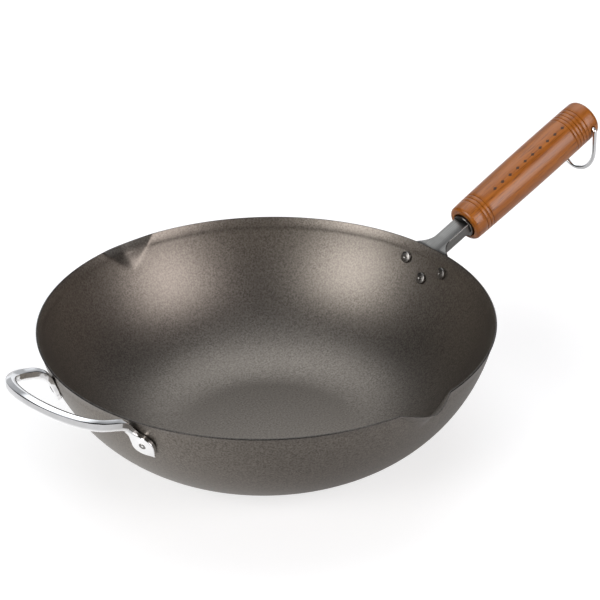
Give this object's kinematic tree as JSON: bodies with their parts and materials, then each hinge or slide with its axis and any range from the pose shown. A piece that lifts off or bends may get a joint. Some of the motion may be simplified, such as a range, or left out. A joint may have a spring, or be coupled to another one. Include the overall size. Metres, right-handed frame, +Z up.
{
  "type": "stir-fry pan",
  "caption": "Thin-walled metal stir-fry pan with pouring spouts, a turned wooden grip with a wire hanging ring, and a bent-bar helper handle opposite.",
  "frame": {"origin": "centre of the underside of the flat base", "axes": "+Z up out of the bowl, +X from the bowl's centre along the long handle, +Y to the left-hand spout seen from the helper handle"},
  "size_m": [0.5007, 0.3132, 0.1484],
  "materials": {
    "titanium": "satin",
    "pressed_steel": "satin",
    "rivet_steel": "satin",
    "turned_wood": "satin",
    "plated_steel": "satin",
    "chrome": "polished"
  },
  "bodies": {
    "pan": {"pan_body": "titanium", "handle_bracket": "pressed_steel", "handle_rivet_left": "rivet_steel", "handle_rivet_right": "rivet_steel", "handle_rivet_lower": "rivet_steel", "ferrule": "pressed_steel", "wooden_grip": "turned_wood", "tie_rod": "plated_steel", "rod_washer": "plated_steel", "rod_nut": "plated_steel", "helper_handle": "chrome", "helper_rivet_left": "rivet_steel", "helper_rivet_right": "rivet_steel"},
    "ring": {"hanging_ring": "chrome"}
  },
  "joints": [
    {"name": "ring_swing", "type": "hinge", "parent": "pan", "child": "ring", "pos_m": [0.29693, 0, 0.13353], "axis": [0, 1, 0], "range_deg": [-262, 41]}
  ]
}
